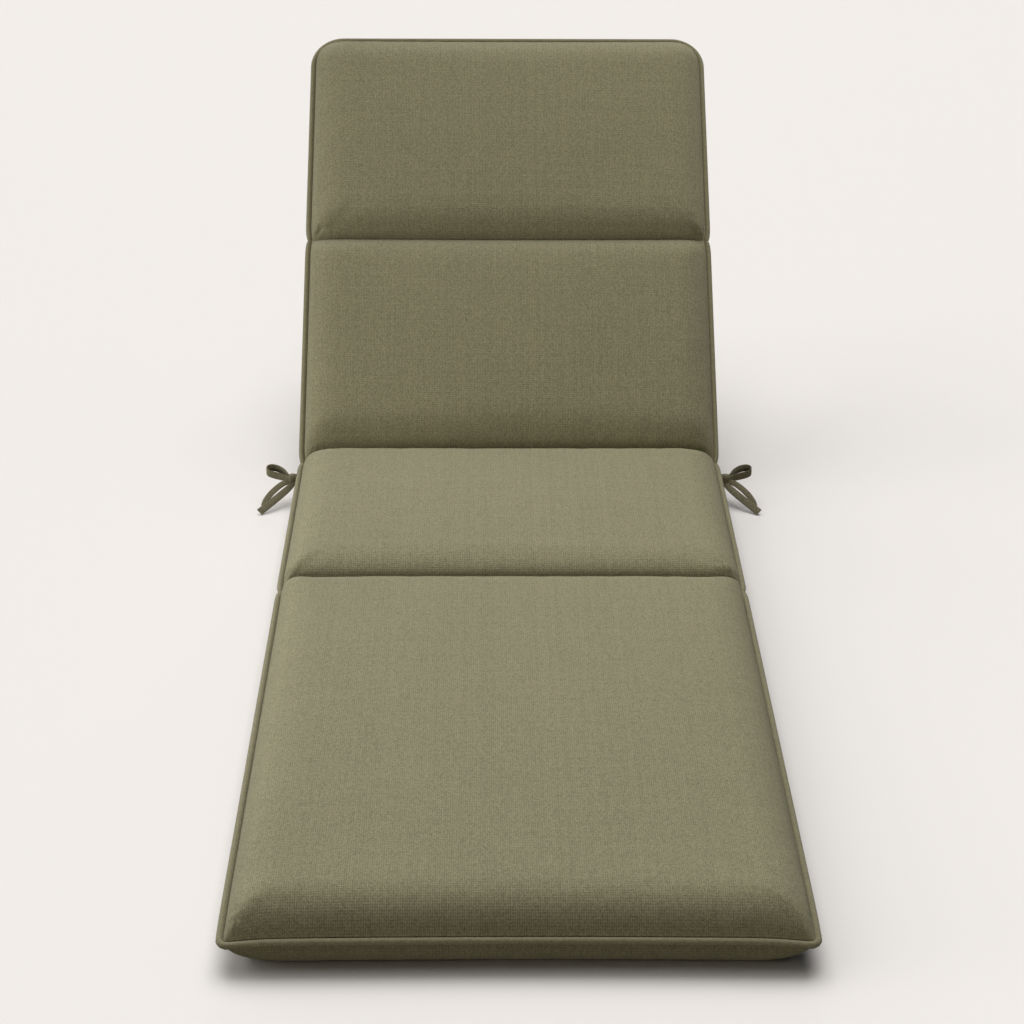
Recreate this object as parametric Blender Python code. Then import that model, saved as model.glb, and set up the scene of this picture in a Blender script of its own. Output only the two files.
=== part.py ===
"""Sun lounger cushion with its backrest raised, in metres, +Z up.

One filled cushion of four panels (leg, seat, back, head) with sewn channels between them, a piping
cord all round its edge, and a tie at each side, knotted in a bow with one loop and two free ends.
The cushion lies on its leg and seat panels. Its foot end points to -Y and its raised head end to +Y.
"""

import math
from collections import namedtuple

import bmesh
import bpy
import numpy as np
from mathutils import Vector

# Driving sizes
WIDTH = 0.600
RECLINE = math.radians(43.5)
SEAM_HEIGHT = 0.035
PIPING_DIAMETER = 0.008
PIECE_GAP = 0.0004

# Panels from the foot to the head. Rises and crowns are heights over and under the sewn edge.
# Reaches say how far the rounded ends go into the panel: on top at its foot side and head side, and
# underneath.
Panel = namedtuple(
    "Panel",
    "name length top_rise top_crown foot_reach head_reach under_rise under_crown under_reach lies_flat",
)
PANELS = (
    Panel("leg", 0.795, 0.034, 0.007, 0.038, 0.031, 0.036, 0.000, 0.026, True),
    Panel("seat", 0.420, 0.038, 0.005, 0.038, 0.031, 0.036, 0.000, 0.026, True),
    Panel("back", 0.360, 0.034, 0.007, 0.048, 0.050, 0.028, 0.005, 0.045, False),
    Panel("head", 0.352, 0.034, 0.008, 0.052, 0.058, 0.028, 0.005, 0.045, False),
)
LENGTH = sum(panel.length for panel in PANELS)
JOINTS = tuple(np.cumsum([panel.length for panel in PANELS])[:-1])
FOLD = JOINTS[1]

# How far the other rounded edges reach in, and half the cushion's thickness where it is sewn
TOP_SIDE_REACH = 0.043
UNDER_SIDE_REACH = 0.060
SEWN_HALF = 0.0025

# The outline: round corners, edges drawn in at the channels and at the foot, drooping foot corners
FOOT_CORNER = 0.015
HEAD_CORNER = 0.050
CHANNEL_DRAW = 0.0028
CHANNEL_DRAW_REACH = 0.012
FOOT_DRAW = 0.004
FOOT_DRAW_SPAN = (0.020, 0.120)
FOOT_DROOP = 0.0035
FOOT_DROOP_REACH = 0.035

# The fold at the raised back: how far the squeezed cloth reaches, and how it opens underneath.
# On top the seat's and the back's faces lean on each other along one plane.
SQUEEZE_REACH = 0.080
UNDER_OPENING = 0.16
SEAT_FACE_LEAN = math.radians(15.5)
BACK_FACE_LEAN = RECLINE - SEAT_FACE_LEAN
PIPING_FOLD_RADIUS = 0.009

# Fineness of the solids
END_STEPS, PANEL_STEPS, LEG_STEPS = 5, 5, 10
SIDE_STEPS, ACROSS_STEPS = 6, 10
PIPING_STEP = 0.045

# Ties: where the knot lies along the edge, and the strap's size
TIE_STATION = 1.168
TIE_DROP = 0.002
STRAP_WIDTH = 0.0105
STRAP_THICKNESS = 0.0016
KNOT_HALF = Vector((0.0056, 0.0072, 0.0080))

CLOTH_EDGE = PIPING_DIAMETER + PIECE_GAP
HALF_CLOTH = WIDTH / 2 - CLOTH_EDGE


def clear_scene():
    for thing in list(bpy.data.objects):
        bpy.data.objects.remove(thing, do_unlink=True)


def cloth_material(name, colour, roughness):
    """Woven outdoor cloth of one colour."""
    material = bpy.data.materials.new(name)
    material.use_nodes = True
    shader = material.node_tree.nodes["Principled BSDF"]
    shader.inputs["Base Color"].default_value = (*colour, 1.0)
    shader.inputs["Roughness"].default_value = roughness
    shader.inputs["Metallic"].default_value = 0.0
    return material


def rounded(distance, reach):
    """Share of the full height at a distance from an edge: half a parabola, then level."""
    inward = np.clip(distance / reach, 0.0, 1.0)
    return 1.0 - (1.0 - inward) ** 2


def bulged(distance, reach):
    """Share of the full height at a distance from an edge: a quarter ellipse, then level."""
    return np.sqrt(rounded(distance, reach))


def eased(value, low, high):
    """0 below low, 1 above high, smooth between."""
    share = np.clip((value - low) / (high - low), 0.0, 1.0)
    return share * share * (3.0 - 2.0 * share)


def edge_to_edge(length, first_reach, last_reach, edge_steps, middle_steps):
    """Distances from one edge to the other, close together on both rounded edges."""
    share = np.linspace(0.0, 1.0, edge_steps + 1) ** 1.7
    middle = np.linspace(first_reach, length - last_reach, middle_steps + 1)
    return np.concatenate([first_reach * share[:-1], middle, length - last_reach * share[-2::-1]])


def channel_draw(station):
    """How far the side edge is drawn in where a channel is sewn across."""
    pulls = [np.exp(-(((station - joint) / CHANNEL_DRAW_REACH) ** 2)) for joint in JOINTS]
    return CHANNEL_DRAW * sum(pulls)


def drawn_edge(across, station):
    """A point of the flat outline after the channels and the filling have drawn it in."""
    drawn_across = across * (1.0 - channel_draw(station) / (WIDTH / 2))
    arch = 1.0 - (across / (WIDTH / 2)) ** 2
    drawn_station = station + FOOT_DRAW * arch * (1.0 - eased(station, *FOOT_DRAW_SPAN))
    return drawn_across, drawn_station


def corner_droop(across, station):
    """How far the foot's two corners hang below the sewn edge's plane."""
    to_corner = np.hypot(np.abs(across) - WIDTH / 2, station)
    return FOOT_DROOP * np.exp(-((to_corner / FOOT_DROOP_REACH) ** 2))


def round_corner(across, station, end, radius):
    """Moves the square corners at one end onto round ones: a square's quarter onto a disc's."""
    towards = 1.0 if end > LENGTH / 2 else -1.0
    a = np.clip((np.abs(across) - (HALF_CLOTH - radius)) / radius, 0.0, 1.0)
    b = np.clip((station * towards - (end * towards - radius)) / radius, 0.0, 1.0)
    shift_a = radius * (a * np.sqrt(1.0 - b * b / 2) - a)
    shift_b = radius * (b * np.sqrt(1.0 - a * a / 2) - b)
    return across + np.sign(across) * shift_a, station + towards * shift_b


def panel_of(row_station):
    """(panel, its start, its end, its part of the cloth's length) at a station of the cloth."""
    start = 0.0
    for panel in PANELS:
        if row_station <= start + panel.length + 1e-9:
            return panel, max(start, CLOTH_EDGE), min(start + panel.length, LENGTH - CLOTH_EDGE)
        start += panel.length
    raise ValueError("station past the head")


def cushion_stations():
    """Rows of the cloth from foot to head. A channel's row belongs to the panel before it."""
    rows = [CLOTH_EDGE]
    start = 0.0
    for panel in PANELS:
        low = max(start, CLOTH_EDGE)
        high = min(start + panel.length, LENGTH - CLOTH_EDGE)
        middle = LEG_STEPS if panel.name == "leg" else PANEL_STEPS
        reaches = panel.foot_reach, panel.head_reach
        rows.extend(low + edge_to_edge(high - low, *reaches, END_STEPS, middle)[1:])
        start += panel.length
    return np.array(rows)


def bend(station, height, raised):
    """(y, z) of a point of the cushion's side view. Raised points turn up about the fold."""
    along = station - FOLD
    turned_y = FOLD + along * math.cos(RECLINE) - height * math.sin(RECLINE)
    turned_z = along * math.sin(RECLINE) + height * math.cos(RECLINE)
    y = np.where(raised, turned_y, station)
    z = np.where(raised, turned_z, height)
    return y, z + SEAM_HEIGHT


def cushion_row(station, across, top):
    """World points of one row of the cloth, on its top or its underside."""
    panel, low, high = panel_of(station)
    to_side = HALF_CLOTH - np.abs(across)
    along = (station - low) / (high - low)
    crown = (1.0 - (2.0 * along - 1.0) ** 2) * (1.0 - (across / HALF_CLOTH) ** 2)
    if top:
        ends = rounded(station - low, panel.foot_reach) * rounded(high - station, panel.head_reach)
        share = ends * bulged(to_side, TOP_SIDE_REACH)
        height = SEWN_HALF + share * (panel.top_rise + panel.top_crown * crown)
    else:
        ends = bulged(station - low, panel.under_reach) * bulged(high - station, panel.under_reach)
        share = ends * bulged(to_side, UNDER_SIDE_REACH)
        height = -(SEWN_HALF + share * (panel.under_rise + panel.under_crown * crown))
    # The two panels at the fold press on each other on top, and part underneath.
    pressed = max(0.0, 1.0 - abs(station - FOLD) / SQUEEZE_REACH)
    lean = math.tan(SEAT_FACE_LEAN) if panel.lies_flat else math.tan(BACK_FACE_LEAN)
    shift = height * pressed * (lean if top else UNDER_OPENING)
    x, y = round_corner(across, np.full_like(across, station), CLOTH_EDGE, FOOT_CORNER - CLOTH_EDGE)
    x, y = round_corner(x, y, LENGTH - CLOTH_EDGE, HEAD_CORNER - CLOTH_EDGE)
    x, y = drawn_edge(x, y)
    height = height - corner_droop(x, y)
    if panel.lies_flat:
        height = np.maximum(height, -SEAM_HEIGHT)
    y, z = bend(y - shift if panel.lies_flat else y + shift, height, not panel.lies_flat)
    return np.column_stack([x, y, z])


def make_cushion(material):
    """The filled cushion: a top and an underside of the same rows, joined round their edge."""
    columns = edge_to_edge(
        2 * HALF_CLOTH, TOP_SIDE_REACH, TOP_SIDE_REACH, SIDE_STEPS, ACROSS_STEPS
    )
    across = columns - HALF_CLOTH
    stations = cushion_stations()
    mesh = bmesh.new()
    sides = []
    for top in (True, False):
        rows = [cushion_row(station, across, top) for station in stations]
        sides.append([[mesh.verts.new(point) for point in row] for row in rows])
    last_row, last_column = len(stations) - 1, len(across) - 1
    for upper, grid in ((True, sides[0]), (False, sides[1])):
        for i in range(last_row):
            for j in range(last_column):
                corners = [grid[i][j], grid[i][j + 1], grid[i + 1][j + 1], grid[i + 1][j]]
                mesh.faces.new(corners if upper else corners[::-1])
    rim = [(0, j) for j in range(last_column)]
    rim += [(i, last_column) for i in range(last_row)]
    rim += [(last_row, j) for j in range(last_column, 0, -1)]
    rim += [(i, 0) for i in range(last_row, 0, -1)]
    for (i, j), (k, l) in zip(rim, rim[1:] + rim[:1]):
        top_side, underside = sides
        mesh.faces.new([top_side[i][j], underside[i][j], underside[k][l], top_side[k][l]])
    bmesh.ops.triangulate(mesh, faces=mesh.faces[:])
    bmesh.ops.recalc_face_normals(mesh, faces=mesh.faces[:])
    return finished("cushion", mesh, material)


def finished(name, mesh, material):
    """Puts a bmesh into a new smooth object in the scene."""
    data = bpy.data.meshes.new(name)
    mesh.to_mesh(data)
    mesh.free()
    data.materials.append(material)
    data.shade_smooth()
    data.set_sharp_from_angle(angle=math.radians(40))
    thing = bpy.data.objects.new(name, data)
    bpy.context.scene.collection.objects.link(thing)
    return thing


def spaced(low, high, step, near):
    """Stations from low to high at an even step, with close ones on each side of the given places."""
    count = max(2, round((high - low) / step))
    places = set(np.linspace(low, high, count + 1))
    offsets = (-0.024, -0.015, -0.009, -0.005, -0.0025, 0.0, 0.0025, 0.005, 0.009, 0.015, 0.024)
    for place in near:
        close = place + offsets[-1]
        places = {s for s in places if not place + offsets[0] < s < close or s in (low, high)}
        places |= {place + offset for offset in offsets if low < place + offset < high}
    return sorted(places)


def piping_outline():
    """(across, station) round the outside edge, along the piping's middle, anticlockwise."""
    half = WIDTH / 2 - PIPING_DIAMETER / 2
    foot, head = PIPING_DIAMETER / 2, LENGTH - PIPING_DIAMETER / 2
    foot_radius = FOOT_CORNER - PIPING_DIAMETER / 2
    head_radius = HEAD_CORNER - PIPING_DIAMETER / 2
    side = spaced(foot + foot_radius, head - head_radius, PIPING_STEP, JOINTS)
    end_count = round(2 * half / PIPING_STEP)

    def corner(centre, radius, start, steps):
        turns = np.linspace(start, start + math.pi / 2, steps + 1)[1:-1]
        return [(centre[0] + radius * math.cos(t), centre[1] + radius * math.sin(t)) for t in turns]

    outline = [(half, station) for station in side]
    outline += corner((half - head_radius, head - head_radius), head_radius, 0.0, 8)
    outline += [(x, head) for x in np.linspace(half - head_radius, head_radius - half, end_count)]
    outline += corner((head_radius - half, head - head_radius), head_radius, math.pi / 2, 8)
    outline += [(-half, station) for station in reversed(side)]
    outline += corner((foot_radius - half, foot + foot_radius), foot_radius, math.pi, 5)
    outline += [(x, foot) for x in np.linspace(foot_radius - half, half - foot_radius, end_count)]
    outline += corner((half - foot_radius, foot + foot_radius), foot_radius, 1.5 * math.pi, 5)
    return np.array(outline)


def piping_bend(station):
    """(y, z) of the piping's middle in the side view, round a small arc at the fold."""
    half_arc = PIPING_FOLD_RADIUS * math.tan(RECLINE / 2)
    turn = np.clip((station - (FOLD - half_arc)) / (2 * half_arc), 0.0, 1.0) * RECLINE
    beyond = np.maximum(station - (FOLD + half_arc), 0.0)
    before = np.minimum(station, FOLD - half_arc)
    y = before + PIPING_FOLD_RADIUS * np.sin(turn) + beyond * math.cos(RECLINE)
    z = PIPING_FOLD_RADIUS * (1.0 - np.cos(turn)) + beyond * math.sin(RECLINE)
    return y, z + SEAM_HEIGHT


def make_piping(material):
    """The piping cord: one closed tube round the whole edge, pinched at the channels."""
    across, station = piping_outline().T
    x, drawn_station = drawn_edge(across, station)
    y, z = piping_bend(drawn_station)
    z = z - corner_droop(x, drawn_station)
    pinch = 1.0 - 0.12 * channel_draw(station) / CHANNEL_DRAW
    curve = bpy.data.curves.new("piping", "CURVE")
    curve.dimensions = "3D"
    curve.twist_mode = "Z_UP"
    curve.bevel_depth = PIPING_DIAMETER / 2
    curve.bevel_resolution = 2
    spline = curve.splines.new("POLY")
    spline.points.add(len(x) - 1)
    spline.use_cyclic_u = True
    for point, place, radius in zip(spline.points, np.column_stack([x, y, z]), pinch):
        point.co = (*place, 1.0)
        point.radius = radius
    curve.materials.append(material)
    piping = bpy.data.objects.new("piping", curve)
    bpy.context.scene.collection.objects.link(piping)
    return piping


# Tie rows, in millimetres from the knot's middle: outward from the cushion, towards the foot and
# upward. The last two columns are shares of the strap's width and thickness, which change where
# the strap is gathered in the knot.
Row = namedtuple("Row", "outward footward upward width thickness")
LOOP = (
    Row(1.0, -1.5, 0.0, 0.55, 1.5),
    Row(5.0, -4.5, 1.5, 0.70, 1.3),
    Row(11.0, -14.0, 3.5, 0.95, 1.0),
    Row(19.0, -22.0, 4.8, 1.00, 1.0),
    Row(28.0, -25.0, 6.0, 1.00, 1.0),
    Row(34.0, -22.0, 6.4, 1.00, 1.0),
    Row(36.3, -16.0, 5.8, 1.00, 1.0),
    Row(34.0, -10.0, 4.6, 1.00, 1.0),
    Row(27.0, -6.5, 3.0, 1.00, 1.0),
    Row(18.0, -4.0, 1.6, 1.00, 1.0),
    Row(10.0, -1.0, 0.6, 0.90, 1.0),
    Row(5.0, 1.6, 0.2, 0.70, 1.3),
    Row(1.0, 2.0, 0.0, 0.55, 1.5),
)
REAR_END = (
    Row(1.0, 1.5, -2.0, 0.55, 1.5),
    Row(5.0, 4.5, -4.2, 0.75, 1.3),
    Row(12.5, 8.5, -6.8, 0.95, 1.0),
    Row(19.8, 15.0, -10.5, 1.00, 1.0),
    Row(28.0, 23.5, -15.5, 1.00, 1.0),
    Row(34.5, 31.5, -21.0, 1.00, 1.0),
    Row(38.0, 37.0, -26.0, 1.00, 1.0),
)
FRONT_END = (
    Row(-0.5, 3.5, -4.0, 0.60, 1.4),
    Row(2.0, 9.5, -8.0, 0.80, 1.2),
    Row(9.0, 18.5, -12.0, 0.97, 1.0),
    Row(19.5, 29.5, -17.3, 1.00, 1.0),
    Row(31.5, 40.5, -23.6, 1.00, 1.0),
    Row(42.5, 51.0, -29.2, 1.00, 1.0),
)
# The root comes from the seam under the piping, further back, to the knot.
ROOT = (
    Row(-13.4, -16.0, -2.8, 0.90, 0.9),
    Row(-10.0, -15.6, -3.2, 0.90, 0.9),
    Row(-5.5, -13.0, -3.6, 0.80, 0.9),
    Row(-1.4, -8.0, -2.2, 0.60, 1.3),
    Row(-0.4, -2.0, 0.0, 0.60, 1.5),
)
# Which way each strap's upper edge points: outward, towards the foot, upward
LOOP_EDGE = Vector((0.0, 0.407, 0.914))
END_EDGE = Vector((0.69, -0.445, 0.565))
ROOT_EDGE = Vector((0.0, 1.0, 0.0))


def smooth_rows(rows, per_span=4):
    """Rows along a smooth curve through the given ones, by Catmull and Rom's rule."""
    table = np.array(rows, float)
    padded = np.vstack([2 * table[0] - table[1], table, 2 * table[-1] - table[-2]])
    shares = np.linspace(0.0, 1.0, per_span, endpoint=False)[:, None]
    out = []
    for before, start, end, after in zip(padded, padded[1:], padded[2:], padded[3:]):
        bend_1 = 2 * start
        bend_2 = (end - before) * shares
        bend_3 = (2 * before - 5 * start + 4 * end - after) * shares**2
        bend_4 = (3 * start - before - 3 * end + after) * shares**3
        out.append((bend_1 + bend_2 + bend_3 + bend_4) / 2)
    return np.vstack([*out, table[-1]])


def strap(name, rows, edge_up, side, knot, material):
    """A flat strap that follows its rows, as one closed solid. Side is -1 left and 1 right."""
    table = smooth_rows(rows)
    turn = np.array([side, -1.0, 1.0])
    middle = table[:, :3] / 1000 * turn + np.array(knot)
    edge = np.array(edge_up) * turn
    ahead = np.gradient(middle, axis=0)
    ahead /= np.linalg.norm(ahead, axis=1)[:, None]
    wide = edge - (ahead @ edge)[:, None] * ahead
    wide /= np.linalg.norm(wide, axis=1)[:, None]
    thick = np.cross(ahead, wide)
    wide *= table[:, 3:4] * STRAP_WIDTH / 2
    thick *= table[:, 4:5] * STRAP_THICKNESS / 2
    mesh = bmesh.new()
    rings = []
    for place, w, t in zip(middle, wide, thick):
        corners = (place + w + t, place + w - t, place - w - t, place - w + t)
        rings.append([mesh.verts.new(corner) for corner in corners])
    for ring, following in zip(rings, rings[1:]):
        for k in range(4):
            mesh.faces.new([ring[k], ring[k - 3], following[k - 3], following[k]])
    mesh.faces.new(rings[0])
    mesh.faces.new(rings[-1])
    bmesh.ops.recalc_face_normals(mesh, faces=mesh.faces[:])
    return finished(name, mesh, material)


def make_tie(name, side, material):
    """One tie: the knot with its root under the piping, a loop and two free ends, all one piece."""
    beyond_piping = WIDTH / 2 + PIECE_GAP + KNOT_HALF.x
    knot_place = Vector((side * beyond_piping, TIE_STATION, SEAM_HEIGHT - TIE_DROP))
    mesh = bmesh.new()
    bmesh.ops.create_uvsphere(mesh, u_segments=14, v_segments=9, radius=1.0)
    bmesh.ops.scale(mesh, vec=KNOT_HALF, verts=mesh.verts[:])
    bmesh.ops.translate(mesh, vec=knot_place, verts=mesh.verts[:])
    tie = finished(name, mesh, material)
    pieces = (("loop", LOOP, LOOP_EDGE), ("rear_end", REAR_END, END_EDGE))
    pieces += (("front_end", FRONT_END, END_EDGE), ("root", ROOT, ROOT_EDGE))
    for part_name, rows, edge_up in pieces:
        joined = strap(f"{name}_{part_name}", rows, edge_up, side, knot_place, material)
        joined.hide_render = True
        joined.display_type = "WIRE"
        union = tie.modifiers.new(part_name, "BOOLEAN")
        union.operation = "UNION"
        union.solver = "EXACT"
        union.object = joined
    return tie


def centre_on_floor(solids):
    """Moves everything so that the origin is the middle of the whole outline, on the floor."""
    bpy.context.view_layer.update()
    graph = bpy.context.evaluated_depsgraph_get()
    places = []
    for solid in solids:
        evaluated = solid.evaluated_get(graph)
        mesh = evaluated.to_mesh()
        places.append(np.array([vertex.co for vertex in mesh.vertices]))
        evaluated.to_mesh_clear()
    low = np.vstack(places).min(axis=0)
    high = np.vstack(places).max(axis=0)
    origin = bpy.data.objects.new("cushion_origin", None)
    bpy.context.scene.collection.objects.link(origin)
    for thing in list(bpy.data.objects):
        if thing != origin:
            thing.parent = origin
    origin.location = (-(low[0] + high[0]) / 2, -(low[1] + high[1]) / 2, -low[2])


def main():
    clear_scene()
    cover = cloth_material("cover_cloth", (0.215, 0.196, 0.122), 0.85)
    trim = cloth_material("trim_cloth", (0.185, 0.170, 0.106), 0.85)
    solids = [
        make_cushion(cover),
        make_piping(trim),
        make_tie("tie_left", -1, trim),
        make_tie("tie_right", 1, trim),
    ]
    centre_on_floor(solids)


main()
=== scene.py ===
# %% [markdown]
# # A sun lounger cushion, dressed
# The frame holds four plain solids at their true size: the filled cushion, the piping round its edge
# and two ties. This lesson gives each of them its cloth. Every shape is a surface worked out with
# numpy over a grid of two directions, mostly "along" (from the foot to the head) and "across".
# Lengths are metres, +Z is up, and the foot end points to -Y.

# %% Load the frame
import math
from collections import namedtuple

import bpy
import numpy as np
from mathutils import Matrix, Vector


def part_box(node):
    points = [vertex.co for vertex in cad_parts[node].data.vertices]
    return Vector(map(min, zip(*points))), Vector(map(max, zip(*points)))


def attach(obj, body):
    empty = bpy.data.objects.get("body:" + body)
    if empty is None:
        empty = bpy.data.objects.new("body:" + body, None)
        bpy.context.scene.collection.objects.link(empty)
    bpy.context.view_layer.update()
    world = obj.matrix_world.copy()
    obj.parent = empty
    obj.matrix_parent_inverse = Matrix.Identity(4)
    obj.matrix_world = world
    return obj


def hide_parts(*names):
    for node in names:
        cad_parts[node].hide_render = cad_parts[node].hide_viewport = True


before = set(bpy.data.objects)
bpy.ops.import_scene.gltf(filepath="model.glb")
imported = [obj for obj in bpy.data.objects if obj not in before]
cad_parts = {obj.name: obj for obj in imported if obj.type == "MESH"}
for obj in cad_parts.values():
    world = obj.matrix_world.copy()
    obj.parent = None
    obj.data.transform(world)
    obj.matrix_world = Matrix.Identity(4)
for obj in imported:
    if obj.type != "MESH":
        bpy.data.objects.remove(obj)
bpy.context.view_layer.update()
print("solids:", ", ".join(sorted(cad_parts)))

# %% [markdown]
# ## Camera
# The picture shows the cushion from above its foot end. The camera's place was fitted to the
# outline: a long lens, so the sides run together gently towards the head. A camera looks along its
# own -Z, so its matrix is built from the directions right, up and backwards. A roll of a third of a
# degree turns right and up about the view.

# %% Place the camera
LENS, SENSOR = 88.0, 36.0
PITCH, YAW, ROLL = np.radians([23.9872, 0.6561, 0.2846])
CAMERA_FROM_FOOT = np.array([-0.03307, -2.07365, 1.42381])
foot_edge = np.array([0.0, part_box("piping")[0][1], 0.0])


def camera_matrix(place, pitch, yaw, roll):
    """A camera's 4 by 4 matrix: ahead is yaw and pitch down, and roll turns the picture."""
    ahead = np.array([math.sin(yaw) * math.cos(pitch), math.cos(yaw) * math.cos(pitch), -math.sin(pitch)])
    right = np.array([math.cos(yaw), -math.sin(yaw), 0.0])
    up = np.cross(right, ahead)
    matrix = np.eye(4)
    matrix[:3, 0] = math.cos(roll) * right + math.sin(roll) * up
    matrix[:3, 1] = math.cos(roll) * up - math.sin(roll) * right
    matrix[:3, 2] = -ahead
    matrix[:3, 3] = place
    return matrix


lens = bpy.data.cameras.new("view")
lens.lens, lens.sensor_width = LENS, SENSOR
camera = bpy.data.objects.new("view", lens)
bpy.context.scene.collection.objects.link(camera)
camera.matrix_world = camera_matrix(CAMERA_FROM_FOOT + foot_edge, PITCH, YAW, ROLL).T
bpy.context.scene.camera = camera
print("camera at", np.round(CAMERA_FROM_FOOT + foot_edge, 3))

# %% [markdown]
# ## The cushion's plan
# Two covers are sewn together round the edge and across three channels, which part the filling into
# four panels. The table gives each panel's length and how high the filling lifts the cloth over the
# sewn edge, on top and underneath. The reaches say how far the round ends go into the panel, and the
# powers how square they are (a smaller power is fuller). The last column says whether the panel lies
# on the ground or leans back.

# %% Panels and driving sizes
Panel = namedtuple(
    "Panel",
    "name length top_rise top_crown foot_reach foot_power head_reach head_power"
    " under_rise under_crown under_reach lies_flat",
)
PANELS = (
    Panel("leg", 0.795, 0.034, 0.007, 0.038, 0.75, 0.028, 0.80, 0.036, 0.000, 0.026, True),
    Panel("seat", 0.420, 0.038, 0.005, 0.050, 0.31, 0.031, 0.80, 0.036, 0.000, 0.026, True),
    Panel("back", 0.360, 0.034, 0.007, 0.048, 0.75, 0.036, 0.70, 0.028, 0.005, 0.045, False),
    Panel("head", 0.352, 0.034, 0.008, 0.032, 0.50, 0.042, 0.75, 0.028, 0.005, 0.045, False),
)
LENGTH = sum(panel.length for panel in PANELS)
JOINTS = np.cumsum([panel.length for panel in PANELS])[:-1]
FOLD = JOINTS[1]
RECLINE = math.radians(43.5)
WIDTH = 0.600
SEAM_HEIGHT = 0.035
PIPING_RADIUS = 0.004
CLOTH_EDGE = 2 * PIPING_RADIUS + 0.0004
HALF_CLOTH = WIDTH / 2 - CLOTH_EDGE
TOP_SIDE_REACH, UNDER_SIDE_REACH = 0.038, 0.050
SEWN_HALF = 0.0025
TUCK, TUCK_HALF = 0.0020, 0.0008
FOOT_CORNER, HEAD_CORNER = 0.015, 0.050
CHANNEL_DRAW, CHANNEL_DRAW_REACH = 0.0028, 0.012
NOTCH_SHARE, NOTCH_FOOTWARD, NOTCH_HEADWARD = 0.45, 0.0018, 0.0050
FOOT_DRAW, FOOT_DRAW_SPAN = 0.004, (0.020, 0.120)
FOOT_DROOP, FOOT_DROOP_REACH = 0.0035, 0.035
SQUEEZE_REACH, UNDER_OPENING = 0.080, 0.16
SEAT_FACE_LEAN = math.radians(15.5)
BACK_FACE_LEAN = RECLINE - SEAT_FACE_LEAN
print("laid flat the cushion is", round(LENGTH, 3), "m long; channels at", np.round(JOINTS, 3))

# %% [markdown]
# ## Rounded edges
# A filled edge leaves its seam steeply and levels off. A cubic does that, and has no visible end
# where it turns level. It runs on past the reach in the table, where the cloth already looks level.
# A root of it is rounder, and fits the sides and the underside.

# %% Edge curves
EDGE_POWER, REACH_SHARE = 3.0, 1.45


def rounded(distance, reach):
    """Share of the full height at a distance from an edge: a cubic, then level."""
    inward = np.clip(distance / (REACH_SHARE * reach), 0.0, 1.0)
    return 1.0 - (1.0 - inward) ** EDGE_POWER


def bulged(distance, reach, roundness=0.5):
    """The cubic's share raised to a power under 1, so that the cloth leaves its seam upright."""
    return rounded(distance, reach) ** roundness


def eased(value, low, high):
    """0 below low, 1 above high, and a smooth cubic between."""
    share = np.clip((value - low) / (high - low), 0.0, 1.0)
    return share * share * (3.0 - 2.0 * share)


print("height share 10 mm in from a side:", round(float(bulged(0.010, TOP_SIDE_REACH)), 2))

# %% [markdown]
# ## The flat outline
# The cloth is cut as a rectangle with round corners. Sewing draws its edges in a little at every
# channel, the filling draws in the middle of the foot end, and the foot's two corners hang down.

# %% Outline


def channel_draw(station):
    """How far the side edge is drawn in: a bell curve round each channel and a sharp notch at it."""
    drawn = 0.0
    for joint in JOINTS:
        away = station - joint
        notch = np.exp(-np.abs(away) / np.where(away < 0, NOTCH_FOOTWARD, NOTCH_HEADWARD))
        bell = np.exp(-((away / CHANNEL_DRAW_REACH) ** 2))
        drawn = drawn + NOTCH_SHARE * notch + (1.0 - NOTCH_SHARE) * bell
    return CHANNEL_DRAW * drawn


def drawn_edge(across, station):
    """A point of the flat outline, narrower at the channels and arched in at the foot."""
    drawn_across = across * (1.0 - channel_draw(station) / (WIDTH / 2))
    arch = 1.0 - (across / (WIDTH / 2)) ** 2
    return drawn_across, station + FOOT_DRAW * arch * (1.0 - eased(station, *FOOT_DRAW_SPAN))


def corner_droop(across, station):
    """How far the foot's corners hang: a bell curve of the distance to the corner."""
    to_corner = np.hypot(np.abs(across) - WIDTH / 2, station)
    return FOOT_DROOP * np.exp(-((to_corner / FOOT_DROOP_REACH) ** 2))


def round_corner(across, station, end, radius):
    """Square corners moved onto round ones, as a square's quarter maps onto a disc's."""
    towards = 1.0 if end > LENGTH / 2 else -1.0
    a = np.clip((np.abs(across) - (HALF_CLOTH + TUCK - radius)) / radius, 0.0, 1.0)
    b = np.clip((station * towards - (end * towards - radius)) / radius, 0.0, 1.0)
    shift_a = radius * (a * np.sqrt(1.0 - b * b / 2) - a)
    shift_b = radius * (b * np.sqrt(1.0 - a * a / 2) - b)
    return across + np.sign(across) * shift_a, station + towards * shift_b


# %% [markdown]
# ## The grid of the cloth
# Rows run across and columns run along. They lie close together by the seams, where the cloth turns
# sharply and puckers, and far apart in the middle of a panel. The number of spans in each panel is
# even, so that every second row and column makes a coarser grid for the simulation, and the channels
# stay on it. The underside, which lies on the ground, is made on that coarser grid too. One more row
# and column all round tucks the cloth under the piping, where it is sewn.

# %% Rows and columns
ROW_SPANS = (130, 100, 90, 90)
COLUMN_SPANS = 170
FINE_STEP = 0.0012


def graded(length, spans):
    """Distances from 0 to a length: steps grow evenly from the fine step to the middle."""
    half = spans // 2
    steps = np.arange(half)
    growth = (length / 2 - half * FINE_STEP) / np.sum(steps**2)
    first = np.concatenate([[0.0], np.cumsum(FINE_STEP + growth * steps**2)])
    return np.concatenate([first, length - first[-2::-1]])


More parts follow.
